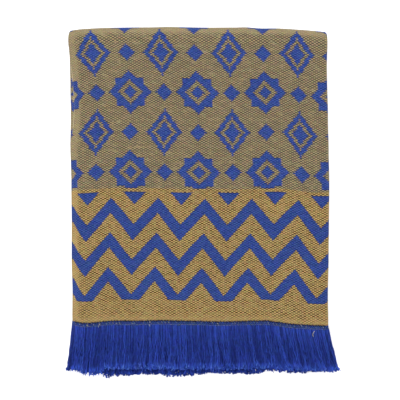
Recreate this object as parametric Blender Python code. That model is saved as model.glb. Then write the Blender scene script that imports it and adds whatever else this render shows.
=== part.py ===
"""A peshtemal (hamam towel) of jacquard-woven cotton, folded and lying on its back.

The towel is 0.97 m wide and 1.80 m long with its fringes. It is folded in four across its
width, in two along its length with both fringed ends together, and then in three, so that one end
shows on the front with its fringe at the bottom, and a fold runs along the top. Every piece is
first laid out flat, in flat coordinates (across, along, height), and then carried by fold() to
where it lies. Units are metres, +Z is up, and the front faces up.
"""

from math import cos, pi, radians, sin

import bmesh
import bpy
import numpy as np

# The cloth, and how closely its layers lie. A bundle is the cloth folded in four across.
CLOTH_THICKNESS = 0.00105
LAYER_PITCH = 0.0013
BUNDLE = 4 * LAYER_PITCH
INNER_BEND = LAYER_PITCH / 2
OUTER_BEND = 1.5 * LAYER_PITCH

# The folded outline. The selvedges stop short of the left edge, which is puffed and thinner there.
BODY_WIDTH = 0.2500
BODY_LENGTH = 0.2874
RIGHT_BEND_X = BODY_WIDTH / 2 - OUTER_BEND - CLOTH_THICKNESS / 2
LEFT_BEND_X = -RIGHT_BEND_X
SELVEDGE_X = -BODY_WIDTH / 2 + 0.0150
COLUMN_SHARES = (0.0, 0.27, 0.58, 0.83, 1.0)
COLUMNS_X = SELVEDGE_X + (RIGHT_BEND_X - SELVEDGE_X) * np.array(COLUMN_SHARES)

# The curve on which the two fringed ends run down from the pile to the floor.
BROW_RADIUS = 0.0300
FOOT_RADIUS = 0.0300
SLOPE = radians(33)
HEM_ANGLE = radians(20)

# The fringe: a heading woven at the end of the cloth, and locks of loose yarn under it.
PIECE_GAP = 0.0003
HEADING = 0.0048
FRONT_FRINGE = 0.0461
UNDER_FRINGE = 0.0506
FRINGE_RAGGED = 0.0012
LOCKS_ON_FRONT_LAYER = 40
LOCKS_ON_HIDDEN_LAYER = 13
LOCK_FILL = 0.74
HIDDEN_LOCK_FILL = 0.42
LOCK_TAPER = 0.62
LOCK_SWAY = 0.0012
FLARE_LEFT = 0.0089
FLARE_RIGHT = 0.0145
FLARE_POWER = 1.4
YARN_SEED = 7

# How far the pile has sunk at its sides, and how far its corners have drooped.
LEFT_SINK = 0.10
LEFT_SINK_REACH = 0.0145
RIGHT_SINK = 0.05
RIGHT_SINK_REACH = 0.0300
DROOP_RIGHT = 0.0050
DROOP_LEFT_AT_HEM = 0.0013
DROOP_LEFT_AT_TOP = 0.0030
DROOP_POWER = 2.5

# How far out each side edge of the front lies, at these shares of the body's length.
EDGE_COLUMNS = ("share", "left", "right")
EDGE_ROWS = (
    (0.00, -0.0012, -0.0003),
    (0.10, -0.0012, -0.0009),
    (0.33, -0.0010, 0.0004),
    (0.47, 0.0000, 0.0007),
    (0.70, 0.0006, -0.0003),
    (0.88, 0.0009, -0.0010),
    (1.00, 0.0024, -0.0010),
)

# The six panels in the order in which the cloth runs through them, and how far the edges of each
# stand out past the front's, at its hem end and at its top end.
PANEL_COLUMNS = ("left_hem", "left_top", "right_hem", "right_top")
PANEL_ROWS = {
    "front": (0.0, 0.0, 0.0, 0.0),
    "back": (-0.0010, -0.0016, -0.0014, -0.0008),
    "fourth": (-0.0004, 0.0016, -0.0006, -0.0012),
    "third": (-0.0014, -0.0006, -0.0018, -0.0010),
    "second": (-0.0008, -0.0012, -0.0004, -0.0014),
    "under front": (0.0004, -0.0006, -0.0010, -0.0006),
}

# Colours of the two yarns, in linear light.
OCHRE = (0.30, 0.20, 0.075, 1.0)
BLUE = (0.026, 0.048, 0.24, 1.0)


class Route:
    """A line of straights and arcs, given as (length, turn) pairs. Left turns are positive, and
    each leg has a name."""

    def __init__(self, start, legs):
        self.names = [name for name, _ in legs]
        self.legs = [leg for _, leg in legs]
        self.ends = np.concatenate([[0.0], np.cumsum([length for length, _ in self.legs])])
        self.points = [np.array(start, float)]
        self.headings = [0.0]
        for length, turn in self.legs:
            step = self.step(length, length, turn, self.headings[-1])
            self.points.append(self.points[-1] + np.array(step))
            self.headings.append(self.headings[-1] + turn)

    @staticmethod
    def step(done, length, turn, heading):
        """How far it is, on both axes, to the point that lies done along a leg."""
        if turn == 0:
            return done * np.cos(heading), done * np.sin(heading)
        radius = length / turn
        now = heading + turn * done / length
        return radius * (np.sin(now) - np.sin(heading)), radius * (np.cos(heading) - np.cos(now))

    def span(self, name):
        """Where the named leg starts and ends, as distances along the route."""
        leg = self.names.index(name)
        return self.ends[leg], self.ends[leg + 1]

    def at(self, along):
        """Position and left normal, each as two arrays, at distances along the route."""
        leg = np.clip(np.searchsorted(self.ends, along, side="right") - 1, 0, len(self.legs) - 1)
        first, second, heading = np.zeros((3,) + along.shape)
        for index, (length, turn) in enumerate(self.legs):
            here = leg == index
            done = along[here] - self.ends[index]
            step = self.step(done, length, turn, self.headings[index])
            first[here] = self.points[index][0] + step[0]
            second[here] = self.points[index][1] + step[1]
            heading[here] = self.headings[index] + turn * done / length
        return (first, second), (-np.sin(heading), np.cos(heading))


def straight(length):
    return (length, 0.0)


def arc(radius, turn):
    return (radius * abs(turn), turn)


def route_across():
    """The cloth's width from one selvedge to the other, as (x, offset from the bundle's middle).

    The second layer falls in an S-bend to meet the front one at the left, past the selvedges."""
    run = SELVEDGE_X - LEFT_BEND_X
    fall = INNER_BEND + OUTER_BEND
    bend = 2 * np.arctan(fall / run)
    bend_radius = run / (2 * sin(bend))
    legs = (
        ("third layer", straight(RIGHT_BEND_X - SELVEDGE_X)),
        ("right inner fold", arc(INNER_BEND, pi)),
        ("second layer", straight(RIGHT_BEND_X - SELVEDGE_X)),
        ("fall", arc(bend_radius, bend)),
        ("levelling", arc(bend_radius, -bend)),
        ("left fold", arc(OUTER_BEND, -pi)),
        ("front layer", straight(RIGHT_BEND_X - LEFT_BEND_X)),
        ("right outer fold", arc(OUTER_BEND, -pi)),
        ("fourth layer", straight(RIGHT_BEND_X - SELVEDGE_X)),
    )
    return Route((SELVEDGE_X, -INNER_BEND), legs)


def level_height(level):
    return (level - 0.5) * BUNDLE


def route_along():
    """The towel's length from the tips of one fringe to those of the other, as (y, z).

    The front fringe climbs from the floor to the top level, 6. The cloth then runs through levels
    6, 1, 4, 3, 2 and 5, and the other fringe runs back down under the first."""
    top_brow, top_foot = BROW_RADIUS + BUNDLE, FOOT_RADIUS - BUNDLE
    panel = BODY_LENGTH - 2.5 * BUNDLE - OUTER_BEND - CLOTH_THICKNESS / 2 - top_brow * sin(HEM_ANGLE)
    drop = level_height(5) - level_height(1)
    slope = (drop - (BROW_RADIUS + FOOT_RADIUS) * (1 - cos(SLOPE))) / sin(SLOPE)
    curve = BROW_RADIUS * (SLOPE - HEM_ANGLE) + slope + FOOT_RADIUS * SLOPE
    floor = PIECE_GAP + HEADING + UNDER_FRINGE + FRINGE_RAGGED - curve
    legs = (
        ("front floor", straight(floor)),
        ("front foot", arc(top_foot, SLOPE)),
        ("front slope", straight(slope)),
        ("front brow", arc(top_brow, HEM_ANGLE - SLOPE)),
        ("front hem", arc(top_brow, -HEM_ANGLE)),
        ("front", straight(panel)),
        ("top outer fold", arc(2.5 * BUNDLE, -pi)),
        ("back", straight(panel)),
        ("bottom outer fold", arc(1.5 * BUNDLE, -pi)),
        ("fourth", straight(panel)),
        ("top inner fold", arc(0.5 * BUNDLE, -pi)),
        ("third", straight(panel)),
        ("bottom inner fold", arc(0.5 * BUNDLE, pi)),
        ("second", straight(panel)),
        ("top middle fold", arc(1.5 * BUNDLE, pi)),
        ("under front", straight(panel)),
        ("under hem", arc(BROW_RADIUS, HEM_ANGLE)),
        ("under brow", arc(BROW_RADIUS, SLOPE - HEM_ANGLE)),
        ("under slope", straight(slope)),
        ("under foot", arc(FOOT_RADIUS, -SLOPE)),
        ("under floor", straight(floor)),
    )
    tips_y = -floor - top_foot * sin(SLOPE) - slope * cos(SLOPE)
    tips_y -= top_brow * (sin(SLOPE) - sin(HEM_ANGLE))
    return Route((tips_y, level_height(2)), legs)


ACROSS = route_across()
ALONG = route_along()
FRONT_HEM = ALONG.span("front hem")[0]
UNDER_HEM = ALONG.span("under hem")[1]
FLOOR_LAYER_TOP = level_height(1) - OUTER_BEND + CLOTH_THICKNESS / 2


def smooth(share):
    share = np.clip(share, 0.0, 1.0)
    return share * share * (3 - 2 * share)


def eased(at, places, values):
    """The value between rows of a table, eased so that it has no corners at the rows."""
    places, values = np.array(places), np.array(values)
    row = np.clip(np.searchsorted(places, at, side="right") - 1, 0, len(places) - 2)
    part = smooth((at - places[row]) / (places[row + 1] - places[row]))
    return values[row] + (values[row + 1] - values[row]) * part


def edge_shift(side, share, along):
    """How far out a side edge lies: the front's outline, and how each panel departs from it."""
    column = EDGE_COLUMNS.index(side)
    outline = eased(share, [row[0] for row in EDGE_ROWS], [row[column] for row in EDGE_ROWS])
    places, values = [], []
    for panel, row in PANEL_ROWS.items():
        places += ALONG.span(panel)
        runs_up = cos(ALONG.headings[ALONG.names.index(panel)]) > 0
        ends = ("hem", "top") if runs_up else ("top", "hem")
        values += [row[PANEL_COLUMNS.index(f"{side}_{end}")] for end in ends]
    return outline + eased(along, places, values)


def droop(x, share):
    """How far down the front a point has drooped: more towards the right and left edges."""
    at_left = DROOP_LEFT_AT_HEM + (DROOP_LEFT_AT_TOP - DROOP_LEFT_AT_HEM) * smooth(share)
    leftward = np.clip(-2 * COLUMNS_X / BODY_WIDTH, 0, 1) ** DROOP_POWER
    rightward = np.clip(2 * COLUMNS_X / BODY_WIDTH, 0, 1) ** DROOP_POWER
    return at_left * np.interp(x, COLUMNS_X, leftward) + DROOP_RIGHT * np.interp(x, COLUMNS_X, rightward)


def settle(x, y, z, along):
    """Sinks, droops and spreads the evenly folded pile, so that it lies as a real one does."""
    share = np.clip(y / BODY_LENGTH, 0.0, 1.0)
    from_left = x + BODY_WIDTH / 2
    from_right = BODY_WIDTH / 2 - x
    sink = LEFT_SINK * np.clip(1 - from_left / LEFT_SINK_REACH, 0, 1) ** 2
    sink += RIGHT_SINK * np.clip(1 - from_right / RIGHT_SINK_REACH, 0, 1) ** 2
    sunk = z - sink * np.clip(z - FLOOR_LAYER_TOP, 0, None)

    past_hem = np.maximum(FRONT_HEM - along, along - UNDER_HEM)
    flare = np.clip(past_hem / (HEADING + UNDER_FRINGE), 0, 1) ** FLARE_POWER
    left = edge_shift("left", share, along) + FLARE_LEFT * flare
    right = edge_shift("right", share, along) + FLARE_RIGHT * flare
    spread = x + (right * from_left - left * from_right) / BODY_WIDTH
    return spread, y - droop(x, share), sunk


def fold(points):
    """Carries flat points (across, along, height above the cloth's middle) to where they lie."""
    across, along, height = points.T
    (x, offset), (normal_x, normal_offset) = ACROSS.at(across)
    x = x + height * normal_x
    offset = offset + height * normal_offset
    (y, z), (normal_y, normal_z) = ALONG.at(along)
    y = y + offset * normal_y
    z = z + offset * normal_z
    return np.stack(settle(x, y, z, along), axis=1)


def finished(name, flat, material, collection):
    """Folds a flat bmesh and makes it an object."""
    bmesh.ops.recalc_face_normals(flat, faces=flat.faces)
    mesh = bpy.data.meshes.new(name)
    flat.to_mesh(mesh)
    flat.free()
    points = np.empty(len(mesh.vertices) * 3, np.float32)
    mesh.vertices.foreach_get("co", points)
    folded = fold(points.reshape(-1, 3).astype(float))
    mesh.vertices.foreach_set("co", folded.astype(np.float32).ravel())
    mesh.materials.append(material)
    mesh.shade_smooth()
    mesh.set_sharp_from_angle(angle=radians(50))
    obj = bpy.data.objects.new(name, mesh)
    collection.objects.link(obj)
    return obj


def long_edges(slab, axis):
    """The edges of a unit slab that run its whole length along an axis."""
    return [edge for edge in slab.edges if abs((edge.verts[0].co - edge.verts[1].co)[axis]) > 0.5]


def flat_slab(across, along):
    """A bmesh of the cloth's thickness laid out flat, cut at the given stations both ways."""
    slab = bmesh.new()
    bmesh.ops.create_cube(slab, size=1.0)
    for axis, stations in enumerate((across, along)):
        cuts = len(stations) - 2
        if cuts:
            edges = long_edges(slab, axis)
            bmesh.ops.subdivide_edges(slab, edges=edges, cuts=cuts, use_grid_fill=True)
    for vert in slab.verts:
        for axis, stations in enumerate((across, along)):
            row = (vert.co[axis] + 0.5) * (len(stations) - 1)
            vert.co[axis] = np.interp(row, np.arange(len(stations)), stations)
        vert.co.z *= CLOTH_THICKNESS
    return slab


def cut_evenly(span, pieces):
    """The stations that cut a span into equal pieces, without its last end."""
    return np.linspace(span[0], span[1], pieces + 1)[:-1]


def left_bend_stations():
    """Distances across at which the S-bend at the left edge is cut."""
    return np.concatenate([cut_evenly(ACROSS.span("fall"), 2), cut_evenly(ACROSS.span("levelling"), 2)])


def cloth_across_stations():
    """The cloth's lengthwise cuts: the folds in short arcs, and each layer at the same columns."""
    bend_x = ACROSS.at(left_bend_stations())[0][0]
    front_x = np.concatenate([[LEFT_BEND_X], bend_x[:0:-1], COLUMNS_X])
    from_left = COLUMNS_X - SELVEDGE_X
    from_right = RIGHT_BEND_X - COLUMNS_X[::-1]
    stations = (
        ACROSS.span("third layer")[0] + from_left[:-1],
        cut_evenly(ACROSS.span("right inner fold"), 3),
        ACROSS.span("second layer")[0] + from_right[:-1],
        left_bend_stations(),
        cut_evenly(ACROSS.span("left fold"), 4),
        ACROSS.span("front layer")[0] + front_x[:-1] - LEFT_BEND_X,
        cut_evenly(ACROSS.span("right outer fold"), 4),
        ACROSS.span("fourth layer")[0] + from_right,
    )
    return np.concatenate(stations)


def cloth_along_stations():
    """The cloth's crosswise cuts: more round a wide fold, fewer along a flat panel."""
    pieces = {
        "front hem": 1,
        "front": 6,
        "top outer fold": 8,
        "back": 4,
        "bottom outer fold": 6,
        "fourth": 4,
        "top inner fold": 4,
        "third": 3,
        "bottom inner fold": 4,
        "second": 3,
        "top middle fold": 6,
        "under front": 4,
        "under hem": 1,
    }
    stations = [cut_evenly(ALONG.span(name), count) for name, count in pieces.items()]
    return np.concatenate(stations + [[UNDER_HEM]])


def make_cloth(material, collection):
    """The whole cloth, as one sheet."""
    slab = flat_slab(cloth_across_stations(), cloth_along_stations())
    return finished("towel_cloth", slab, material, collection)


def lock_edges(layer, locks, fill):
    """Both edges of each lock along a layer, in order."""
    start, end = ACROSS.span(layer)
    pitch = (end - start) / locks
    middles = start + pitch * (np.arange(locks) + 0.5)
    half_width = pitch * fill / 2
    return np.stack([middles - half_width, middles + half_width], axis=1).ravel()


def heading_stations():
    """The heading's cuts across, and the middle of each piece of it that carries a lock."""
    locks = {
        "third layer": lock_edges("third layer", LOCKS_ON_HIDDEN_LAYER, HIDDEN_LOCK_FILL),
        "second layer": lock_edges("second layer", LOCKS_ON_HIDDEN_LAYER, HIDDEN_LOCK_FILL),
        "front layer": lock_edges("front layer", LOCKS_ON_FRONT_LAYER, LOCK_FILL),
        "fourth layer": lock_edges("fourth layer", LOCKS_ON_HIDDEN_LAYER, HIDDEN_LOCK_FILL),
    }
    stations = (
        [ACROSS.ends[0]],
        locks["third layer"],
        cut_evenly(ACROSS.span("right inner fold"), 3),
        locks["second layer"],
        left_bend_stations(),
        cut_evenly(ACROSS.span("left fold"), 4),
        [ACROSS.span("front layer")[0]],
        locks["front layer"],
        cut_evenly(ACROSS.span("right outer fold"), 4),
        [ACROSS.span("fourth layer")[0]],
        locks["fourth layer"],
        [ACROSS.ends[-1]],
    )
    edges = np.concatenate(list(locks.values())).reshape(-1, 2)
    return np.concatenate(stations), edges.mean(axis=1)


def find_roots(comb, middles, far_edge):
    """The faces on the heading's far edge from which the locks grow, in order."""
    roots = []
    for face in comb.faces:
        centre = face.calc_center_median()
        on_far_edge = abs(face.normal.y) > 0.5 and abs(centre.y - far_edge) < PIECE_GAP
        if on_far_edge and np.abs(middles - centre.x).min() < PIECE_GAP:
            roots.append(face)
    return sorted(roots, key=lambda face: face.calc_center_median().x)


def make_fringe(side, hem, away, length, material, collection, rng):
    """A heading along one end of the cloth, with tapering locks of yarn that grow out of it.

    side is front or under, and away is -1 where the fringe lies before the cloth, or 1 after."""
    stations, middles = heading_stations()
    near_edge = hem + away * PIECE_GAP
    far_edge = near_edge + away * HEADING
    comb = flat_slab(stations, sorted((near_edge, far_edge)))
    slope, foot = ALONG.span(f"{side} slope"), ALONG.span(f"{side} foot")
    bends = (slope[0 if away < 0 else 1], sum(foot) / 2, foot[0 if away < 0 else 1])
    locks = find_roots(comb, middles, far_edge)
    tips = far_edge + away * (length + FRINGE_RAGGED * rng.uniform(-1, 1, len(locks)))
    sways = LOCK_SWAY * rng.uniform(-1, 1, len(locks))
    at, width = far_edge, 1.0
    for stop in bends + (None,):
        locks = bmesh.ops.extrude_discrete_faces(comb, faces=locks)["faces"]
        for face, tip, sway in zip(locks, tips, sways):
            goal = tip if stop is None else stop
            share = (goal - far_edge) / (tip - far_edge)
            narrowed = (1 - (1 - LOCK_TAPER) * share) / width
            middle = face.calc_center_median().x
            for vert in face.verts:
                vert.co.x = middle + (vert.co.x - middle) * narrowed + sway * (goal - at) / (tip - far_edge)
                vert.co.y += goal - at
        if stop is not None:
            width = 1 - (1 - LOCK_TAPER) * (stop - far_edge) / (away * length)
            at = stop
    return finished(f"fringe_{side}", comb, material, collection)


def yarn_material(name, colour, roughness):
    material = bpy.data.materials.new(name)
    material.use_nodes = True
    shader = material.node_tree.nodes["Principled BSDF"]
    shader.inputs["Base Color"].default_value = colour
    shader.inputs["Roughness"].default_value = roughness
    shader.inputs["Metallic"].default_value = 0.0
    return material


def stand_on_origin(objects):
    """Puts the origin at the middle of the towel's footprint, on the surface it lies on."""
    corners = []
    for obj in objects:
        points = np.empty(len(obj.data.vertices) * 3, np.float32)
        obj.data.vertices.foreach_get("co", points)
        points = points.reshape(-1, 3)
        corners += [points.min(axis=0), points.max(axis=0)]
    low, high = np.min(corners, axis=0), np.max(corners, axis=0)
    middle = (low + high) / 2
    for obj in objects:
        obj.location = (-middle[0], -middle[1], -low[2])


def main():
    for obj in list(bpy.data.objects):
        bpy.data.objects.remove(obj, do_unlink=True)
    collection = bpy.data.collections.new("peshtemal_towel")
    bpy.context.scene.collection.children.link(collection)
    rng = np.random.default_rng(YARN_SEED)
    woven = yarn_material("woven_cotton", OCHRE, 0.9)
    front_yarn = yarn_material("front_fringe_yarn", BLUE, 0.85)
    under_yarn = yarn_material("under_fringe_yarn", BLUE, 0.85)
    cloth = make_cloth(woven, collection)
    front = make_fringe("front", FRONT_HEM, -1, FRONT_FRINGE, front_yarn, collection, rng)
    under = make_fringe("under", UNDER_HEM, 1, UNDER_FRINGE, under_yarn, collection, rng)
    stand_on_origin((cloth, front, under))


main()
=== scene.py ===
# %% [markdown]
# # A folded peshtemal
# A peshtemal is a thin cotton bath towel, woven on a jacquard loom in two colours of yarn, with the
# loose ends of its warp left as a fringe. This one is folded in four across its width, in two along
# its length with both fringes together, and then in three. The lesson dresses the plain solids of
# the folded towel: it makes the sheet again with finer folds, weaves its pattern in the shader, and
# combs out the fringe yarn by yarn.
#
# Every piece is first laid out flat, where it is easy to describe, and one function then folds it.

import bpy
import numpy as np
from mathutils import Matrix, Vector


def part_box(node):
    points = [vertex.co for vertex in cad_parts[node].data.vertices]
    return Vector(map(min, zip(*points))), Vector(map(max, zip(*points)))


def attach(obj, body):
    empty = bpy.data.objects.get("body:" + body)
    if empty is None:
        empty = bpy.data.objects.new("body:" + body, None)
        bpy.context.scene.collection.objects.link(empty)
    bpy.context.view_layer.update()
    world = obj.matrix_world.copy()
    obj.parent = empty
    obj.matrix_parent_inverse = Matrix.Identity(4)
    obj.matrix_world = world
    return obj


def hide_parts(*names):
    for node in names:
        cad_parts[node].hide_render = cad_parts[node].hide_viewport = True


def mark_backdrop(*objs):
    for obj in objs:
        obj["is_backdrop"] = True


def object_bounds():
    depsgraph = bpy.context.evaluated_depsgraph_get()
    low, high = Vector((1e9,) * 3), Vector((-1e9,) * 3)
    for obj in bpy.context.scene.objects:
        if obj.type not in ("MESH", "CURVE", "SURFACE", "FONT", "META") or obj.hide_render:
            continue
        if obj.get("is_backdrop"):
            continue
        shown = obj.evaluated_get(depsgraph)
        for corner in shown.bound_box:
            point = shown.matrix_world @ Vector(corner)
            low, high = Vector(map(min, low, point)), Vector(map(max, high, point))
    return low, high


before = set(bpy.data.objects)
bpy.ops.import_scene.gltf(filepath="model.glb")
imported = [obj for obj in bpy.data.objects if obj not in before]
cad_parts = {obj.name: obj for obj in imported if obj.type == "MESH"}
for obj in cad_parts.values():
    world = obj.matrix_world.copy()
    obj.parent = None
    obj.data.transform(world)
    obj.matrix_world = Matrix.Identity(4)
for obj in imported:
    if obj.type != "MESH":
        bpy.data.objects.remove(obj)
solid_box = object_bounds()
print("solids:", sorted(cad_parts), "in the box", np.array(solid_box).round(4).tolist())

# %% [markdown]
# ## The sizes of the folded cloth
# A towel of about a metre by 1.8 metres, folded in four, is 25 cm wide. The cloth is about a
# millimetre thick, so four layers make a bundle of 5 mm, and six levels of bundle a pile of 31 mm.
# All of the towel's folds follow from these few numbers, the same ones that its solids have.

# %% Driving sizes, in metres
CLOTH_THICKNESS = 0.00105
LAYER_PITCH = 0.0013
BUNDLE = 4 * LAYER_PITCH
INNER_BEND = LAYER_PITCH / 2
OUTER_BEND = 1.5 * LAYER_PITCH

BODY_WIDTH = 0.2500
BODY_LENGTH = 0.2874
RIGHT_BEND_X = BODY_WIDTH / 2 - OUTER_BEND - CLOTH_THICKNESS / 2
LEFT_BEND_X = -RIGHT_BEND_X
SELVEDGE_X = -BODY_WIDTH / 2 + 0.0150

BROW_RADIUS = 0.0300
FOOT_RADIUS = 0.0300
SLOPE = np.radians(33)
HEM_ANGLE = np.radians(20)

PIECE_GAP = 0.0003
HEADING = 0.0048
FRONT_FRINGE = 0.0461
UNDER_FRINGE = 0.0506
FRINGE_RAGGED = 0.0012

# %% [markdown]
# ## A route of straights and arcs
# Seen from its end, folded cloth is a line that runs straight, turns back on an arc, runs straight
# again, and so on. Two such lines describe this towel: one across its width and one along its
# length. A route is kept as the list of its legs, each with a length and the angle that it turns
# through. Walking a given distance along it gives a place and a normal, for a whole array at once.

# %% Routes
def straight(length):
    return (length, 0.0)


def arc(radius, turn):
    return (radius * abs(turn), turn)


def advance(done, length, turn, heading):
    """The step from a leg's start to the point that lies done along it. On a straight it is done
    times the heading's cosine and sine. On an arc it is the radius times the change of the
    heading's sine, and minus the change of its cosine."""
    if turn == 0:
        return done * np.cos(heading), done * np.sin(heading)
    radius = length / turn
    now = heading + turn * done / length
    return radius * (np.sin(now) - np.sin(heading)), radius * (np.cos(heading) - np.cos(now))


def lay_route(start, legs):
    """A route from named legs: where each leg starts, and how far along the route that is."""
    route = {"legs": legs, "ends": [0.0], "points": [start], "headings": [0.0]}
    for length, turn in legs.values():
        step = advance(length, length, turn, route["headings"][-1])
        route["points"].append((route["points"][-1][0] + step[0], route["points"][-1][1] + step[1]))
        route["headings"].append(route["headings"][-1] + turn)
        route["ends"].append(route["ends"][-1] + length)
    return route


def span(route, name):
    """Where the named leg starts and ends, as distances along the route."""
    leg = list(route["legs"]).index(name)
    return route["ends"][leg], route["ends"][leg + 1]


def walk(route, along):
    """The place and the left normal at distances along a route, each as a pair of arrays."""
    first, second, heading = np.zeros((3,) + along.shape)
    last = len(route["legs"]) - 1
    leg = np.clip(np.searchsorted(route["ends"], along, side="right") - 1, 0, last)
    for index, (length, turn) in enumerate(route["legs"].values()):
        here = leg == index
        done = along[here] - route["ends"][index]
        step = advance(done, length, turn, route["headings"][index])
        first[here] = route["points"][index][0] + step[0]
        second[here] = route["points"][index][1] + step[1]
        heading[here] = route["headings"][index] + turn * done / length
    return (first, second), (-np.sin(heading), np.cos(heading))


# %% [markdown]
# ## Across the width
# The cloth starts at a selvedge inside the bundle, runs right, turns back inside, runs left, and
# comes round the left edge to the front. It crosses the whole front and turns under at the right.
# At the left edge only two layers meet, because both selvedges stop short of it, so the second
# layer falls in an S-bend to the bottom of the bundle and the edge is thin and soft there.

# %% The route across
fall = INNER_BEND + OUTER_BEND
bend = 2 * np.arctan(fall / (SELVEDGE_X - LEFT_BEND_X))
bend_radius = (SELVEDGE_X - LEFT_BEND_X) / (2 * np.sin(bend))
ACROSS = lay_route(
    (SELVEDGE_X, -INNER_BEND),
    {
        "third layer": straight(RIGHT_BEND_X - SELVEDGE_X),
        "right inner fold": arc(INNER_BEND, np.pi),
        "second layer": straight(RIGHT_BEND_X - SELVEDGE_X),
        "fall": arc(bend_radius, bend),
        "levelling": arc(bend_radius, -bend),
        "left fold": arc(OUTER_BEND, -np.pi),
        "front layer": straight(RIGHT_BEND_X - LEFT_BEND_X),
        "right outer fold": arc(OUTER_BEND, -np.pi),
        "fourth layer": straight(RIGHT_BEND_X - SELVEDGE_X),
    },
)
FRONT_MIDDLE = sum(span(ACROSS, "front layer")) / 2
FLAT_WIDTH = ACROSS["ends"][-1]
print(f"the cloth is {FLAT_WIDTH:.3f} m wide when it is laid flat")

# %% [markdown]
# ## Along the length
# The second route is seen from the side. The front fringe climbs from the floor to the top level
# of the pile; the cloth runs through the six levels in the order 6, 1, 4, 3, 2, 5, with wide folds
# round narrow ones; and the other fringe runs back down under the first.

# %% The route along
def level_height(level):
    return (level - 0.5) * BUNDLE


top_brow = BROW_RADIUS + BUNDLE
top_foot = FOOT_RADIUS - BUNDLE
panel = BODY_LENGTH - 2.5 * BUNDLE - OUTER_BEND - CLOTH_THICKNESS / 2 - top_brow * np.sin(HEM_ANGLE)
drop = level_height(5) - level_height(1)
slope = (drop - (BROW_RADIUS + FOOT_RADIUS) * (1 - np.cos(SLOPE))) / np.sin(SLOPE)
curve = BROW_RADIUS * (SLOPE - HEM_ANGLE) + slope + FOOT_RADIUS * SLOPE
floor_run = PIECE_GAP + HEADING + UNDER_FRINGE + FRINGE_RAGGED - curve
tips_y = -floor_run - top_foot * np.sin(SLOPE) - slope * np.cos(SLOPE)
tips_y -= top_brow * (np.sin(SLOPE) - np.sin(HEM_ANGLE))
ALONG = lay_route(
    (tips_y, level_height(2)),
    {
        "front floor": straight(floor_run),
        "front foot": arc(top_foot, SLOPE),
        "front slope": straight(slope),
        "front brow": arc(top_brow, HEM_ANGLE - SLOPE),
        "front hem": arc(top_brow, -HEM_ANGLE),
        "front": straight(panel),
        "top outer fold": arc(2.5 * BUNDLE, -np.pi),
        "back": straight(panel),
        "bottom outer fold": arc(1.5 * BUNDLE, -np.pi),
        "fourth": straight(panel),
        "top inner fold": arc(0.5 * BUNDLE, -np.pi),
        "third": straight(panel),
        "bottom inner fold": arc(0.5 * BUNDLE, np.pi),
        "second": straight(panel),
        "top middle fold": arc(1.5 * BUNDLE, np.pi),
        "under front": straight(panel),
        "under hem": arc(BROW_RADIUS, HEM_ANGLE),
        "under brow": arc(BROW_RADIUS, SLOPE - HEM_ANGLE),
        "under slope": straight(slope),
        "under foot": arc(FOOT_RADIUS, -SLOPE),
        "under floor": straight(floor_run),
    },
)
FRONT_HEM = span(ALONG, "front hem")[0]
UNDER_HEM = span(ALONG, "under hem")[1]
FLAT_LENGTH = UNDER_HEM - FRONT_HEM
print(f"between its hems the cloth is {FLAT_LENGTH:.3f} m long")

# %% [markdown]
# ## How the pile has settled
# Evenly folded cloth looks like a box. A real pile sinks at its edges, its corners droop, its folds
# don't quite line up, soft creases run over its front, and the fringe fans out where nothing holds
# it. These are smooth shifts of the folded shape, worked out from a few rows of measurements that
# are eased into each other.

# %% Two ways to ease
def smooth(share):
    """3 s^2 - 2 s^3, which rises from 0 to 1 with no corner at either end."""
    share = np.clip(share, 0.0, 1.0)
    return share * share * (3 - 2 * share)


def eased(at, places, values):
    """The value between the rows of a table, eased so that it has no corners at the rows."""
    places, values = np.array(places), np.array(values)
    row = np.clip(np.searchsorted(places, at, side="right") - 1, 0, len(places) - 2)
    part = smooth((at - places[row]) / (places[row + 1] - places[row]))
    return values[row] + (values[row + 1] - values[row]) * part


# %% [markdown]
# ## The side edges
# The edges of a folded towel wander by a millimetre or two, and each panel's own way, because each
# was folded by hand. So the front's outline is a table, and every other panel departs from it.

# %% How far out the side edges lie
EDGE_SHARES = (0.00, 0.10, 0.22, 0.33, 0.47, 0.60, 0.70, 0.88, 1.00)
EDGE_OUT = {
    "left": (-0.0012, -0.0014, -0.0006, -0.0008, -0.0005, 0.0008, 0.0001, 0.0007, 0.0029),
    "right": (0.0012, 0.0007, 0.0014, 0.0017, 0.0021, 0.0015, 0.0008, -0.0003, 0.0007),
}
PANEL_OUT = {
    "front": {"left": (0.0, 0.0006), "right": (0.0, 0.0)},
    "back": {"left": (-0.0016, -0.0010), "right": (-0.0008, -0.0014)},
    "fourth": {"left": (-0.0004, 0.0008), "right": (-0.0006, -0.0012)},
    "third": {"left": (-0.0006, -0.0014), "right": (-0.0010, -0.0018)},
    "second": {"left": (-0.0008, -0.0012), "right": (-0.0004, -0.0014)},
    "under front": {"left": (-0.0004, 0.0002), "right": (-0.0006, -0.0010)},
}
FRONT_TUCK, FRONT_TUCK_AT, FRONT_TUCK_REACH = 0.0036, 0.745, 0.14


def edge_shift(side, share, along):
    """How far out a side edge lies: the front's outline, plus how each panel departs from it. The
    front is also drawn in at the left for a stretch, by a Gaussian, and the level below peeks out."""
    places = np.concatenate([span(ALONG, panel_name) for panel_name in PANEL_OUT])
    values = np.concatenate([row[side] for row in PANEL_OUT.values()])
    out = eased(share, EDGE_SHARES, EDGE_OUT[side]) + eased(along, places, values)
    if side == "left":
        on_front = along < span(ALONG, "front")[1]
        out = out - FRONT_TUCK * np.exp(-(((share - FRONT_TUCK_AT) / FRONT_TUCK_REACH) ** 2)) * on_front
    return out


# %% [markdown]
# ## Creases and soft hills
# A towel that was folded before keeps soft creases, and its front isn't level between them. Both
# are smooth hollows and rises, placed in the front's own sizes.

# %% Creases and hills
PILLOW_HEIGHT, PILLOW_EDGE = 0.0009, 0.03
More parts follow.
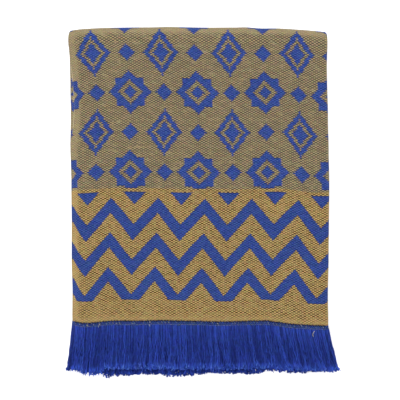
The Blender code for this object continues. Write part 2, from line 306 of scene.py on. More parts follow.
# Each crease: where it starts, where it ends, its reach and its depth. One below 0 is a ridge.
CREASES = (
    ((0.097, -0.010), (0.103, 0.300), 0.0080, 0.0014),
    ((-0.110, 0.040), (-0.107, 0.230), 0.0050, -0.0007),
    ((-0.115, 0.262), (-0.030, 0.292), 0.0070, 0.0009),
    ((0.020, 0.255), (0.118, 0.272), 0.0090, 0.0008),
    ((-0.120, 0.020), (-0.060, 0.004), 0.0060, 0.0007),
    ((0.035, 0.010), (0.085, 0.000), 0.0080, -0.0007),
)
CREASE_FADE = 0.3


def pillow(x, y):
    """Soft hills and hollows of the front, between -1 and 1: a sum of three slow waves."""
    long_wave = np.sin(31 * x + 17 * y + 0.6)
    cross_wave = np.sin(-19 * x + 43 * y + 2.1)
    short_wave = np.sin(67 * x - 29 * y + 4.0)
    return (long_wave + cross_wave + 0.6 * short_wave) / 2.6


def creased(x, y):
    """How deep the creases are at a place: each is a line, and its depth falls off with distance
    from it as a Gaussian and fades towards its ends."""
    depth = np.zeros(np.shape(x))
    for start, end, reach, own_depth in CREASES:
        run = np.subtract(end, start)
        length = np.hypot(*run)
        ahead = ((x - start[0]) * run[0] + (y - start[1]) * run[1]) / length
        aside = ((x - start[0]) * run[1] - (y - start[1]) * run[0]) / length
        fading = CREASE_FADE * length
        fade = smooth(ahead / fading) * smooth((length - ahead) / fading)
        depth += own_depth * np.exp(-((aside / reach) ** 2)) * fade
    return depth


# %% [markdown]
# ## Settling the pile
# All of this goes into one function, with the rounded rim, the drooping corners, the spread of the
# loose fringe, and the small rises and falls of the hem and the top fold.

# %% Settle
LEFT_SINK, LEFT_SINK_REACH = 0.10, 0.0145
RIGHT_SINK, RIGHT_SINK_REACH = 0.05, 0.0300
LEFT_RIM, LEFT_RIM_REACH, LEFT_RIM_BEND = 0.24, 0.0110, 0.95
DROOP_RIGHT_AT_HEM, DROOP_RIGHT_AT_TOP = 0.0040, 0.0052
DROOP_LEFT_AT_HEM, DROOP_LEFT_AT_TOP = 0.0013, 0.0030
DROOP_POWER, DROOP_POWER_LEFT = 2.5, 6.0
STEP_STARTS, STEP_REACH, BOW_STARTS = 0.60, 0.30, 0.60
FLARE_LEFT, FLARE_RIGHT, FLARE_POWER = 0.0060, 0.0128, 1.15
END_REACH, TOP_END_STARTS = 0.3, 2.33
PILE = 6 * BUNDLE
FLOOR_LAYER_TOP = level_height(1) - OUTER_BEND + CLOTH_THICKNESS / 2

HEM_UP_AT = (-0.125, -0.112, -0.101, -0.090, -0.078, -0.063, -0.039, -0.012, 0.019)
HEM_UP_AT += (0.040, 0.052, 0.064, 0.075, 0.084, 0.092, 0.100, 0.108, 0.120)
HEM_UP = (0.0014, -0.0006, -0.0002, 0.0009, 0.0012, 0.0009, 0.0014, 0.0009, 0.0002)
HEM_UP += (0.0006, 0.0010, 0.0013, -0.0002, -0.0009, -0.0007, 0.0002, 0.0006, 0.0003)
TOP_DOWN_AT = (-0.128, -0.095, -0.050, -0.027, -0.010, 0.010, 0.035, 0.045, 0.060, 0.080, 0.120)
TOP_DOWN = (0.0005, 0.0005, 0.0003, -0.0001, 0.0003, 0.0006, 0.0003, -0.0002, 0.0005, -0.0002, -0.0002)


def settle(x, y, z, along):
    """Sinks, droops and spreads the evenly folded pile. Heights above the lowest layer shrink by
    the share that the pile has sunk there, so that no layer passes through another. Each row is
    stretched between its own two side edges, and the corners and both ends move along."""
    share = np.clip(y / BODY_LENGTH, 0.0, 1.0)
    from_left, from_right = x + BODY_WIDTH / 2, BODY_WIDTH / 2 - x
    sink = LEFT_SINK * np.clip(1 - from_left / LEFT_SINK_REACH, 0, 1) ** 2
    sink += RIGHT_SINK * np.clip(1 - from_right / RIGHT_SINK_REACH, 0, 1) ** 2
    rim = np.clip(1 - (from_left - OUTER_BEND) / LEFT_RIM_REACH, 0, 1)
    sink += LEFT_RIM * (1 - np.sqrt(1 - LEFT_RIM_BEND * rim**2))
    inside = smooth(from_left / PILLOW_EDGE) * smooth(from_right / PILLOW_EDGE) * smooth(y / PILLOW_EDGE)
    sink += PILLOW_HEIGHT / PILE * (1 - pillow(x, y)) / 2 * inside
    sink += creased(x, y) / PILE
    sunk = z - sink * np.clip(z - FLOOR_LAYER_TOP, 0, None)

    past_hem = np.maximum(FRONT_HEM - along, along - UNDER_HEM)
    flare = np.clip(past_hem / (HEADING + UNDER_FRINGE), 0, 1) ** FLARE_POWER
    left = edge_shift("left", share, along) + FLARE_LEFT * flare
    right = edge_shift("right", share, along) + FLARE_RIGHT * flare
    spread = x + (right * from_left - left * from_right) / BODY_WIDTH

    at_left = DROOP_LEFT_AT_HEM + (DROOP_LEFT_AT_TOP - DROOP_LEFT_AT_HEM) * smooth(share)
    leftward = np.clip(-2 * x / BODY_WIDTH, 0, 1) ** DROOP_POWER_LEFT
    bowed = np.clip(2 * x / BODY_WIDTH, 0, 1) ** DROOP_POWER
    stepped = smooth((2 * x / BODY_WIDTH - STEP_STARTS) / STEP_REACH)
    rightward = stepped + (bowed - stepped) * smooth((share - BOW_STARTS) / (1 - BOW_STARTS))
    at_right = DROOP_RIGHT_AT_HEM + (DROOP_RIGHT_AT_TOP - DROOP_RIGHT_AT_HEM) * smooth(share)
    rise = eased(x, HEM_UP_AT, HEM_UP) * (1 - smooth(share / END_REACH))
    rise = rise - eased(x, TOP_DOWN_AT, TOP_DOWN) * smooth(share / END_REACH - TOP_END_STARTS)
    return spread, y - at_left * leftward - at_right * rightward + rise, sunk


# %% [markdown]
# ## One function folds everything
# A flat point is given by how far across the cloth it lies, how far along, and how high above the
# middle of its thickness. The route across says where it lies in the bundle, and the route along
# carries the bundle through the pile. Last, the pile is set down on the middle of its solid.

# %% Fold
def fold_in_place(flat):
    """Flat points (..., across, along, height) as folded ones, in the fold's own coordinates."""
    across, along, height = flat[..., 0], flat[..., 1], flat[..., 2]
    (x, offset), (normal_x, normal_offset) = walk(ACROSS, across)
    x = x + height * normal_x
    offset = offset + height * normal_offset
    (y, z), (normal_y, normal_z) = walk(ALONG, along)
    y = y + offset * normal_y
    z = z + offset * normal_z
    return np.stack(settle(x, y, z, along), axis=-1)


def sample_cloth(across_count, along_count):
    """Flat points spread evenly over both faces of the whole cloth."""
    across = np.linspace(0, FLAT_WIDTH, across_count)
    along = np.linspace(FRONT_HEM, UNDER_HEM, along_count)
    faces = np.array([-CLOTH_THICKNESS / 2, CLOTH_THICKNESS / 2])
    return np.stack(np.meshgrid(across, along, faces, indexing="ij"), axis=-1).reshape(-1, 3)


own_points = fold_in_place(sample_cloth(600, 900))
solid_corners = np.array(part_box("towel_cloth"))
own_corners = np.array([own_points.min(axis=0), own_points.max(axis=0)])
SHIFT = (solid_corners - own_corners).mean(axis=0)
SHIFT[2] = solid_corners[0, 2] - own_corners[0, 2]


def fold(flat):
    """Flat points as they lie in the finished towel."""
    return fold_in_place(np.asarray(flat, float)) + SHIFT


print("the fold is set down at", SHIFT.round(4))

# %% [markdown]
# ## From arrays to meshes
# A sheet, a strip and a strand of yarn are all the same kind of surface: rings of points, one ring
# after another, joined by quads, with a lid on each end. So one helper builds every mesh here. The
# flat place of each point is kept in a UV map, in metres, so that a shader can draw the weave on
# the cloth as the loom made it, before it was folded.

# %% Rings of points as a mesh
def tube_quads(tubes, rings, sides):
    """The quads that join tubes of rings. Point (tube, ring, side) has the number
    (tube * rings + ring) * sides + side, and each quad joins two neighbours on one ring to the same
    two on the next."""
    here = np.arange(tubes * rings * sides).reshape(tubes, rings, sides)
    beside = np.roll(here, -1, axis=2)
    return np.stack([here[:, :-1], beside[:, :-1], beside[:, 1:], here[:, 1:]], axis=-1).reshape(-1, 4)


def lid_quads(tubes, rings, sides):
    """The quads that close both ends. A ring of an even number of sides is shut like a book: each
    quad joins two neighbours on one cover to the two that face them on the other."""
    numbers = np.arange(tubes * rings * sides).reshape(tubes, rings, sides)
    near = np.arange(sides // 2 - 1)
    far = sides - 1 - near
    first, last = numbers[:, 0], numbers[:, -1]
    start = np.stack([first[:, near], first[:, far], first[:, far - 1], first[:, near + 1]], axis=-1)
    end = np.stack([last[:, near], last[:, near + 1], last[:, far - 1], last[:, far]], axis=-1)
    return np.concatenate([start.reshape(-1, 4), end.reshape(-1, 4)])


def make_piece(name, flat, tones):
    """An object from flat points of shape (tubes, rings, sides, 3), folded, with its flat places as
    a UV map and a tone for each ring of each tube as an attribute. A ring that would dip into the
    table is lifted by what it lacks, and so rests on it."""
    tubes, rings, sides = flat.shape[:3]
    points = fold(flat)
    points[..., 2] += np.maximum(-points[..., 2].min(axis=2, keepdims=True), 0.0)
    points = points.reshape(-1, 3)
    quads = np.concatenate([tube_quads(tubes, rings, sides), lid_quads(tubes, rings, sides)])
    mesh = bpy.data.meshes.new(name)
    mesh.vertices.add(len(points))
    mesh.vertices.foreach_set("co", points.astype(np.float32).ravel())
    mesh.loops.add(quads.size)
    mesh.loops.foreach_set("vertex_index", quads.ravel().astype(np.int32))
    mesh.polygons.add(len(quads))
    mesh.polygons.foreach_set("loop_start", np.arange(0, quads.size, 4, dtype=np.int32))
    mesh.update(calc_edges=True)
    place = drawn_place(flat).reshape(-1, 2)
    uv_map = mesh.uv_layers.new(name="flat")
    uv_map.data.foreach_set("uv", place[quads.ravel()].astype(np.float32).ravel())
    tone = mesh.attributes.new("tone", "FLOAT", "POINT")
    own_tones = np.broadcast_to(tones[:, :, None], (tubes, rings, sides))
    tone.data.foreach_set("value", own_tones.astype(np.float32).ravel())
    mesh.shade_smooth()
    piece = bpy.data.objects.new(name, mesh)
    bpy.context.scene.collection.objects.link(piece)
    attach(piece, "root")
    print(f"{name}: {len(points)} points, {2 * len(quads)} triangles")
    return piece


# %% [markdown]
# ## Where the pattern falls
# Cloth doesn't stretch when a pile rounds off at its rim: more of it goes into the slope. The route
# across ignores the slope, so the pattern's own distance across is measured on the settled front,
# step by step from its middle, and stands in the UV map instead.

# %% Distances measured on the settled front
SAMPLES = 801
measured_across = np.linspace(*span(ACROSS, "front layer"), SAMPLES)
row_of_front = np.empty((SAMPLES, 3))
row_of_front[:, 0] = measured_across
row_of_front[:, 1] = np.mean(span(ALONG, "front"))
row_of_front[:, 2] = CLOTH_THICKNESS / 2
row_steps = np.diff(fold(row_of_front)[:, [0, 2]], axis=0)
row_lengths = np.concatenate([[0.0], np.cumsum(np.hypot(row_steps[:, 0], row_steps[:, 1]))])
measured_place = row_lengths - np.interp(FRONT_MIDDLE, measured_across, row_lengths)


def drawn_place(flat):
    """The pattern's place (across, along) of flat points, from the front's middle and its hem."""
    across, along = flat[..., 0], flat[..., 1]
    on_front = np.interp(across, measured_across, measured_place)
    beyond = across - np.clip(across, measured_across[0], measured_across[-1])
    return np.stack([on_front + beyond, along - FRONT_HEM], axis=-1)


print("the front takes up", round(row_lengths[-1] * 1000, 1), "mm of cloth across")

# %% [markdown]
# ## The cloth
# The sheet is one long, flat tube: its ring goes out along one face of the cloth and back along the
# other. Stations stand close together where the cloth turns and where the front shows, and further
# apart inside the pile, where nothing is seen.

# %% The sheet
def stations(route, steps):
    """Distances along a route: each named leg cut into its own number of equal steps."""
    cuts = [np.linspace(*span(route, name), count + 1)[:-1] for name, count in steps.items()]
    return np.concatenate(cuts + [[span(route, list(steps)[-1])[1]]])


ACROSS_STEPS = {
    "third layer": 20,
    "right inner fold": 5,
    "second layer": 20,
    "fall": 4,
    "levelling": 4,
    "left fold": 8,
    "front layer": 60,
    "right outer fold": 8,
    "fourth layer": 20,
}
ALONG_STEPS = {
    "front hem": 6,
    "front": 56,
    "top outer fold": 20,
    "back": 40,
    "bottom outer fold": 14,
    "fourth": 24,
    "top inner fold": 8,
    "third": 24,
    "bottom inner fold": 8,
    "second": 24,
    "top middle fold": 14,
    "under front": 30,
    "under hem": 6,
}


def sheet_points(across, along, half_thickness):
    """One tube that is as flat as cloth, of shape (1, rings, sides, 3)."""
    out = np.stack([across, np.full(len(across), half_thickness)], axis=-1)
    back = np.stack([across[::-1], np.full(len(across), -half_thickness)], axis=-1)
    ring = np.concatenate([out, back])
    flat = np.empty((1, len(along), len(ring), 3))
    flat[0, :, :, 0] = ring[:, 0]
    flat[0, :, :, 1] = along[:, None]
    flat[0, :, :, 2] = ring[:, 1]
    return flat


cloth = make_piece(
    "cloth",
    sheet_points(stations(ACROSS, ACROSS_STEPS), stations(ALONG, ALONG_STEPS), CLOTH_THICKNESS / 2),
    np.full((1, 1), 0.5),
)
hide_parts("towel_cloth")

# %% [markdown]
# ## The headings
# At each end the weaver beats up a few millimetres in blue only, and a machine runs a seam along it
# so that nothing unravels. The heading is a strip of the same sheet, a hair away from the cloth.

# %% Both headings
FRINGED_ENDS = {
    "front": {"hem": FRONT_HEM, "away": -1, "fringe": FRONT_FRINGE},
    "under": {"hem": UNDER_HEM, "away": 1, "fringe": UNDER_FRINGE},
}


def heading_edges(end):
    """Where a heading starts, by the cloth, and where it ends, at the fringe."""
    near = end["hem"] + end["away"] * PIECE_GAP
    return near, near + end["away"] * HEADING


headings = {}
for end_name, end in FRINGED_ENDS.items():
    along = np.linspace(*sorted(heading_edges(end)), 5)
    strip = sheet_points(stations(ACROSS, ACROSS_STEPS), along, CLOTH_THICKNESS / 2)
    headings[end_name] = make_piece(f"heading_{end_name}", strip, np.full((1, 1), 0.5))

# %% [markdown]
# ## The fringe
# The fringe is the warp itself, hundreds of loose cotton ends. They cling to their neighbours in
# wisps, so they start evenly spaced and draw together further down, with dark gaps between the
# wisps, and each one wanders a little on its own and curls at its cut tip. Every strand is a tube
# with four sides, and a whole row of them is worked out at once, as one array.

# %% Tubes of yarn
YARN_RADIUS = 0.00041
YARN_RINGS = 14


def tubes(path, radius):
    """Four-sided tubes round paths (tubes, rings, 3) of flat points. Each ring is the path's point,
    plus the radius times the cosine of an angle sideways and times its sine upwards. Sideways is the
    path's overall direction, turned by a right angle in the plane of the cloth."""
    ahead = path[:, -1, :2] - path[:, 0, :2]
    ahead /= np.linalg.norm(ahead, axis=1, keepdims=True)
    sideways = np.stack([ahead[:, 1], -ahead[:, 0]], axis=-1)[:, None, None, :]
    angles = -np.pi / 4 - np.arange(4) * np.pi / 2
    flat = np.repeat(path[:, :, None, :], 4, axis=2)
    flat[..., :2] += radius[..., None, None] * np.cos(angles)[:, None] * sideways
    flat[..., 2] += radius[..., None] * np.sin(angles)
    return flat


def spread_out(rng, start, stop, pitch, looseness):
    """Places about a pitch apart between two ends, each off its even place by some looseness."""
    count = int((stop - start) / pitch)
    off = rng.uniform(-looseness, looseness, count)
    return start + (stop - start) * (np.arange(count) + 0.5 + off) / count


def slow_wave(rng, down, wave_length, size):
    """A sine wave down each strand, with its own phase and its own share of the size."""
    phase = rng.uniform(0, 2 * np.pi, len(down))[:, None]
    own_length = wave_length * rng.uniform(0.75, 1.3, len(down))[:, None]
    own_size = size * rng.uniform(0.2, 1.8, len(down))[:, None]
    return own_size * np.sin(2 * np.pi * down / own_length + phase)


# %% [markdown]
# ## How a strand hangs
# Most of a strand's shape belongs to its wisp, and only a little is its own. So every wisp gets a
# length, a pull and a lean, and every strand adds small waves, a splay and a curl to them.

# %% Strands in wisps
ROOT_TUCK, ROOT_LOOSENESS = 0.0012, 0.35
WISP_WIDTH, WISP_LOOSENESS = 0.0058, 0.38
WISP_RAGGED, WISP_LEAN = 0.0008, 0.0013
WEAKEST_PULL, STRONGEST_PULL = 0.05, 0.42
STRAND_LEAN = 0.0004
SIDE_WAVES = ((0.034, 0.00050), (0.016, 0.00042), (0.009, 0.00022))
BILLOW_LENGTH, BILLOW_SIZE = 0.024, 0.0004
TIP_SPLAY, TIP_CURL, TIP_PULLED_BACK, TIP_SWELL = 0.0013, 0.0020, 0.0014, 0.35
RIM_SINKS = 0.0006


def strands(rng, end, row):
    """Tubes and tones of the strands that hang from some legs of the route across.

    A strand's place across is its root, plus a pull towards its wisp and the wisp's own lean, both
    growing as the square of the way down, plus three slow waves, plus a splay near the tip. Its
    height billows on one more wave, sinks at the rim of a wisp and curls up at the tip."""
    start, stop = span(ACROSS, row["start"])[0], span(ACROSS, row["stop"])[1]
    roots = spread_out(rng, start, stop, row["pitch"], ROOT_LOOSENESS)
    middles = spread_out(rng, start, stop, WISP_WIDTH, WISP_LOOSENESS)
    wisp = np.abs(roots[:, None] - middles).argmin(axis=1)
    count = len(roots)
    across_pile = (walk(ACROSS, roots)[0][0] / BODY_WIDTH) + 0.5
    length = end["fringe"] * row["length"] + eased(across_pile, *end["longer by"])
    length += rng.normal(0, WISP_RAGGED, len(middles))[wisp] + rng.normal(0, FRINGE_RAGGED / 2, count)
    share = np.linspace(0, 1, YARN_RINGS) ** 0.85
    down = share * length[:, None]
    near_tip = np.clip(share * 10 - 9, 0, 1)

    outlying = np.clip(np.abs(roots - middles[wisp]) / (WISP_WIDTH / 2), 0, 1)[:, None] ** 2 * share
    pull = rng.uniform(WEAKEST_PULL, STRONGEST_PULL, len(middles))[wisp] * (middles[wisp] - roots)
    lean = rng.normal(0, WISP_LEAN, len(middles))[wisp] + rng.normal(0, STRAND_LEAN, count)
    across = roots[:, None] + (pull + lean)[:, None] * share**2
    for wave_length, size in SIDE_WAVES:
        across += slow_wave(rng, down, wave_length, size) * share**0.5
    across += rng.normal(0, TIP_SPLAY, count)[:, None] * near_tip**1.5

    path = np.empty((count, YARN_RINGS, 3))
    path[..., 0] = across
    path[..., 1] = heading_edges(end)[1] + end["away"] * (down - ROOT_TUCK)
    path[..., 2] = row["rise"] + rng.uniform(-0.0002, 0.0002, count)[:, None]
    path[..., 2] += slow_wave(rng, down, BILLOW_LENGTH, BILLOW_SIZE) * share
    curl = rng.uniform(0, TIP_CURL, count)[:, None] * near_tip**2 - RIM_SINKS * outlying
    path[..., 2] -= end["away"] * curl
    path[..., 1] -= end["away"] * rng.uniform(0, TIP_PULLED_BACK, count)[:, None] * near_tip**2
    thickness = row["thickness"] * YARN_RADIUS * rng.uniform(0.8, 1.2, count)[:, None]
    # Painted shade: tones darken at the rim of a wisp and further down each strand. The tips grow paler,
    # partly real paleness and partly painted highlight.
    tones = rng.uniform(0.1, 1.0, count)[:, None] * (1 - 0.8 * outlying - 0.15 * share)
    tones += end["pale tips"] * rng.uniform(0, 1, count)[:, None] * np.clip(share * 7 - 6, 0, 1)
    return tubes(path, thickness * (1 + TIP_SWELL * near_tip)), tones


# %% [markdown]
# ## Four rows in each fringe
# Four layers of cloth end at the hem, and yarn hangs from each. The front layer is the one that is
# seen, and gets two rows of fine strands, close together. The layers below only have to be dark and
# full: one row runs through the two inner layers and one along the lowest, of fewer, thicker
# strands. A fringe that was combed by hand is longer in some places than in others.

# %% Comb out both fringes
FRINGED_ENDS["front"]["longer by"] = (
    (0.0, 0.04, 0.09, 0.12, 0.135, 0.30, 0.42, 0.60, 0.80, 0.90, 0.95, 1.0),
    (0.0048, 0.0042, 0.0080, 0.0080, 0.0036, 0.0045, 0.0044, 0.0034, 0.0030, 0.0023, 0.0010, 0.0026),
)
FRINGED_ENDS["under"]["longer by"] = (
    (0.0, 0.06, 0.115, 0.14, 0.20, 0.30, 0.42, 0.54, 0.62, 0.68, 0.73, 0.80, 0.88, 0.96, 1.0),
    (-0.001, 0.002, 0.004, 0.007, 0.008, 0.007, 0.0084, 0.0050)
    + (0.0053, 0.0063, 0.004, 0.0032, 0.001, -0.0014, -0.0011),
)
# Paler tips: partly the real paleness of cut yarn, partly painted highlight; the under fringe gets less,
# as painted shade beneath the front fringe.
FRINGED_ENDS["front"]["pale tips"] = 1.9
FRINGED_ENDS["under"]["pale tips"] = 0.4
seen = {"start": "left fold", "stop": "right outer fold", "pitch": 0.00056, "thickness": 1.0}
inner = {"start": "third layer", "stop": "levelling", "pitch": 0.00140, "thickness": 2.0}
lowest = {"start": "fourth layer", "stop": "fourth layer", "pitch": 0.00090, "thickness": 1.8}
FRINGE_ROWS = (
    seen | {"rise": 0.00035, "length": 1.000},
    seen | {"rise": -0.0003, "length": 1.010},
    inner | {"rise": 0.0, "length": 1.000},
    lowest | {"rise": 0.0, "length": 1.006},
)

fringes = {}
for end_name, end in FRINGED_ENDS.items():
    rng = np.random.default_rng(11 if end_name == "front" else 12)
    combed = [strands(rng, end, row) for row in FRINGE_ROWS]
    flat = np.concatenate([row_flat for row_flat, row_tones in combed])
    tones = np.concatenate([row_tones for row_flat, row_tones in combed])
    fringes[end_name] = make_piece(f"fringe_{end_name}_yarn", flat, tones)
    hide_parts(f"fringe_{end_name}")

# %% [markdown]
# ## The seam along the heading
# A thin ochre thread holds the edge. It shows as a row of short stitches close to the fringe, and as
# slanting loops beside the hem line, where the machine trimmed the edge and bound it in dark yarn
# in one go. Each stitch is a short tube that arches over the cloth, a little off its even place.

# %% Stitches, loops and binding
SEAM_RADIUS, SEAM_FROM_HEM = 0.00016, 0.0037
STITCH_LENGTH, STITCH_PITCH, STITCH_ARCH = 0.0024, 0.0027, 0.00012
LOOP_RADIUS, LOOP_FROM_HEM = 0.00026, 0.0016
LOOP_PITCH, LOOP_LEAN, LOOP_ARCH, LOOPS_LEFT = 0.0036, 0.95, 0.0003, 0.75
SHORTEST_LOOP, LONGEST_LOOP = 0.0010, 0.0026
BINDING_RADIUS, BINDING_FROM_HEM = 0.00048, 0.0003
BINDING_LENGTH, BINDING_PITCH, BINDING_LEAN, BINDING_ARCH = 0.0026, 0.0027, 0.6, 0.0004
ON_TOP = CLOTH_THICKNESS / 2 + 0.00008


def threads(middles, length, lean, arch, radius, rings=5):
    """Short tubes with their middles at flat points, turned by a lean from the across direction,
    and raised in the middle by an arch, as a parabola."""
    share = np.linspace(-1, 1, rings)
    path = np.repeat(middles[:, None, :], rings, axis=1)
    reach = share * np.broadcast_to(length, len(middles))[:, None] / 2
    path[..., 0] += reach * np.cos(lean)[:, None]
    path[..., 1] += reach * np.sin(lean)[:, None]
    path[..., 2] += arch * (1 - share**2)
    swell = np.sqrt(1 - 0.8 * share**4)
    return tubes(path, radius * np.broadcast_to(swell, path.shape[:2]))


def on_heading(across, from_hem, end):
    """Flat points on top of a heading at places across and a distance from the hem."""
    along = end["hem"] + end["away"] * np.broadcast_to(from_hem, across.shape)
    return np.stack([across, along, np.full(across.shape, ON_TOP)], axis=-1)


rng = np.random.default_rng(21)
seam, seam_tones, binding = [], [], []
for end in FRINGED_ENDS.values():
    for layer in ("front layer", "fourth layer"):
        start, stop = span(ACROSS, layer)
        places = spread_out(rng, start, stop, STITCH_PITCH, 0.06)
        from_hem = SEAM_FROM_HEM + rng.normal(0, 0.00008, len(places))
        lean = rng.normal(0, 0.04, len(places))
        middles = on_heading(places, from_hem, end)
        seam.append(threads(middles, STITCH_LENGTH, lean, STITCH_ARCH, SEAM_RADIUS))

        places = spread_out(rng, start, stop, LOOP_PITCH, 0.3)
        places = places[rng.uniform(0, 1, len(places)) < LOOPS_LEFT]
        from_hem = LOOP_FROM_HEM + rng.normal(0, 0.0004, len(places))
        lean = end["away"] * rng.normal(LOOP_LEAN, 0.25, len(places))
        lengths = rng.uniform(SHORTEST_LOOP, LONGEST_LOOP, len(places))
        middles = on_heading(places, from_hem, end)
        seam.append(threads(middles, lengths, lean, LOOP_ARCH, LOOP_RADIUS))
        seam_tones += [rng.uniform(0.0, 0.3, len(seam[-2])), rng.uniform(0.05, 0.60, len(places))]

        places = spread_out(rng, start, stop, BINDING_PITCH, 0.15)
        from_hem = BINDING_FROM_HEM + rng.normal(0, 0.00015, len(places))
        lean = end["away"] * rng.normal(BINDING_LEAN, 0.2, len(places))
        middles = on_heading(places, from_hem, end)
        binding.append(threads(middles, BINDING_LENGTH, lean, BINDING_ARCH, BINDING_RADIUS))

print(len(seam), "rows of stitches and loops and", len(binding), "of binding")

# %% [markdown]
# ## Knots and a snipped end
# Where the machine started again, it left a tuft of thread ends. They are the same short tubes,
# a few at each of three places, and the snipped bit is a tube along a shallow bow.

# %% Loose ends
KNOTS_AT = np.array([-0.1098, -0.0981, -0.0485])
KNOT_ENDS, KNOT_END_LENGTH, KNOT_FROM_HEM = 5, 0.0020, 0.0030
KNOT_SPREAD, KNOT_SPREAD_ALONG, KNOT_ARCH = 0.0006, 0.0013, 0.0004
SNIP_AT, SNIP_FROM_HEM, SNIP_RADIUS = 0.1085, 0.0122, 0.00028
SNIP_RUN_ACROSS, SNIP_RUN_ALONG = 0.0022, 0.0066
SNIP_BOW, SNIP_RISE, SNIP_RINGS = 0.0010, 0.0006, 9

knot_places = np.repeat(FRONT_MIDDLE + KNOTS_AT, KNOT_ENDS)
knot_count = len(knot_places)
knot_places = knot_places + rng.normal(0, KNOT_SPREAD, knot_count)
from_hem = KNOT_FROM_HEM + rng.normal(0, KNOT_SPREAD_ALONG, knot_count)
knots = on_heading(knot_places, from_hem, FRINGED_ENDS["front"])
lean = rng.uniform(0.4, 2.4, knot_count)
seam.append(threads(knots, KNOT_END_LENGTH, lean, KNOT_ARCH, LOOP_RADIUS))
seam_tones.append(rng.uniform(0.0, 0.7, knot_count))
seam_tones = np.concatenate(seam_tones)[:, None]
seam_piece = make_piece("seam", np.concatenate(seam), seam_tones)
binding = np.concatenate(binding)
binding_tones = rng.uniform(0, 0.4, (len(binding), 1))
binding_piece = make_piece("edge_binding", binding, binding_tones)

snip_share = np.linspace(0, 1, SNIP_RINGS)
snip = np.empty((1, SNIP_RINGS, 3))
snip[..., 0] = FRONT_MIDDLE + SNIP_AT + SNIP_RUN_ACROSS * snip_share
snip[..., 0] -= SNIP_BOW * np.sin(np.pi * snip_share)
snip[..., 1] = FRONT_HEM - SNIP_FROM_HEM + SNIP_RUN_ALONG * snip_share
snip[..., 2] = ON_TOP + SNIP_RISE
snip = tubes(snip, np.full((1, SNIP_RINGS), SNIP_RADIUS))
snip_piece = make_piece("snipped_thread", snip, np.full((1, 1), 0.9))

# %% [markdown]
# ## Wires instead of clicks
# The weave and the pattern are sums of simple waves, so their shaders are mostly Math nodes. A small
# helper lets them be written as sums: a wire is an output socket, and every operator on it adds the
# node that does the same. The effects are node groups with named sockets.

# %% A wire
def feed(tree, value, socket):
    """Gives a socket a constant, or links a wire to it."""
    if isinstance(value, Wire):
        tree.links.new(value.socket, socket)
    else:
        socket.default_value = value


class Wire:
    """An output socket that can be used in sums."""

    def __init__(self, tree, socket):
        self.tree = tree
        self.socket = socket

    def math(self, operation, *others):
        node = self.tree.nodes.new("ShaderNodeMath")
        node.operation = operation
        for socket, value in zip(node.inputs, (self, *others)):
            feed(self.tree, value, socket)
        return Wire(self.tree, node.outputs[0])

    def __add__(self, other):
        return self.math("ADD", other)

    def __sub__(self, other):
        return self.math("SUBTRACT", other)

    def __mul__(self, other):
        return self.math("MULTIPLY", other)

    def __lt__(self, other):
        return self.math("LESS_THAN", other)

    def __gt__(self, other):
        return self.math("GREATER_THAN", other)

    def inverse(self):
        """1 minus the wire."""
        return self * -1 + 1

    def ramp(self, low, high):
        """0 below low, 1 above high, and a smooth rise between."""
        node = self.tree.nodes.new("ShaderNodeMapRange")
        node.interpolation_type = "SMOOTHSTEP"
        for name, value in (("Value", self), ("From Min", low), ("From Max", high)):
            feed(self.tree, value, node.inputs[name])
        return Wire(self.tree, node.outputs["Result"])

    def band(self, low, risen, falling, high):
        """0 outside low and high, 1 from risen to falling, and smooth between."""
        return self.ramp(low, risen) * self.ramp(falling, high).inverse()


# %% [markdown]
# ## Groups and textures
# Every effect here depends on the flat place of a point, so every group has the inputs Across and
# Along, in millimetres, and the textures read the same two. Noise gives soft lumps, and white noise
# throws dice: one value for each cell of a grid, when its coordinates are rounded first.

# %% Groups, textures and colours
def new_group(name, outputs, output_kind="NodeSocketFloat", **inputs):
    """A node group with named outputs, which reads a flat place and other numbers: the group and
    its input wires, in their order. Pitch_Along names the socket Pitch Along, and so on."""
    group = bpy.data.node_groups.new(name, "ShaderNodeTree")
    inputs = {"Across": 0.0, "Along": 0.0, **inputs}
    for key, value in inputs.items():
        label = key.replace("_", " ")
        socket = group.interface.new_socket(label, in_out="INPUT", socket_type="NodeSocketFloat")
        socket.default_value = value
    for label in outputs:
        group.interface.new_socket(label, in_out="OUTPUT", socket_type=output_kind)
    entry = group.nodes.new("NodeGroupInput")
    return group, [Wire(group, socket) for socket, key in zip(entry.outputs, inputs)]


def close_group(group, **results):
    """Links result wires to a group's outputs."""
    way_out = group.nodes.new("NodeGroupOutput")
    for name, wire in results.items():
        feed(group, wire, way_out.inputs[name])
    print(f"{group.name}: {len(group.nodes)} nodes")
    return group


def use(tree, group, across, along, **values):
    """Places a group in a tree. Gives its outputs as wires, by name."""
    node = tree.nodes.new("ShaderNodeGroup")
    node.node_tree = group
    for key, value in {"Across": across, "Along": along, **values}.items():
        feed(tree, value, node.inputs[key.replace("_", " ")])
    return {socket.name: Wire(tree, socket) for socket in node.outputs}


def flat_texture(tree, kind, across, along):
    """A texture node of some kind that reads two wires as its coordinates."""
    vector = tree.nodes.new("ShaderNodeCombineXYZ")
    feed(tree, across, vector.inputs["X"])
    feed(tree, along, vector.inputs["Y"])
    node = tree.nodes.new(kind)
    node.noise_dimensions = "2D"
    tree.links.new(vector.outputs[0], node.inputs["Vector"])
    return node


def noise(tree, across, along, size, detail=2.0):
    """A noise wire between 0 and 1, with lumps of about a given size."""
    node = flat_texture(tree, "ShaderNodeTexNoise", across * (1 / size), along * (1 / size))
    node.inputs["Scale"].default_value = 1.0
    node.inputs["Detail"].default_value = detail
    return Wire(tree, node.outputs[0])


def dice(tree, across, along, output="Value"):
    """A random wire between 0 and 1 that changes where its coordinates do, or a random colour."""
    return Wire(tree, flat_texture(tree, "ShaderNodeTexWhiteNoise", across, along).outputs[output])


def vector_math(tree, operation, *values):
    """A wire of three numbers, such as a colour, worked out from others."""
    node = tree.nodes.new("ShaderNodeVectorMath")
    node.operation = operation
    for socket, value in zip(node.inputs, values):
        feed(tree, value, socket)
    return Wire(tree, node.outputs[0])


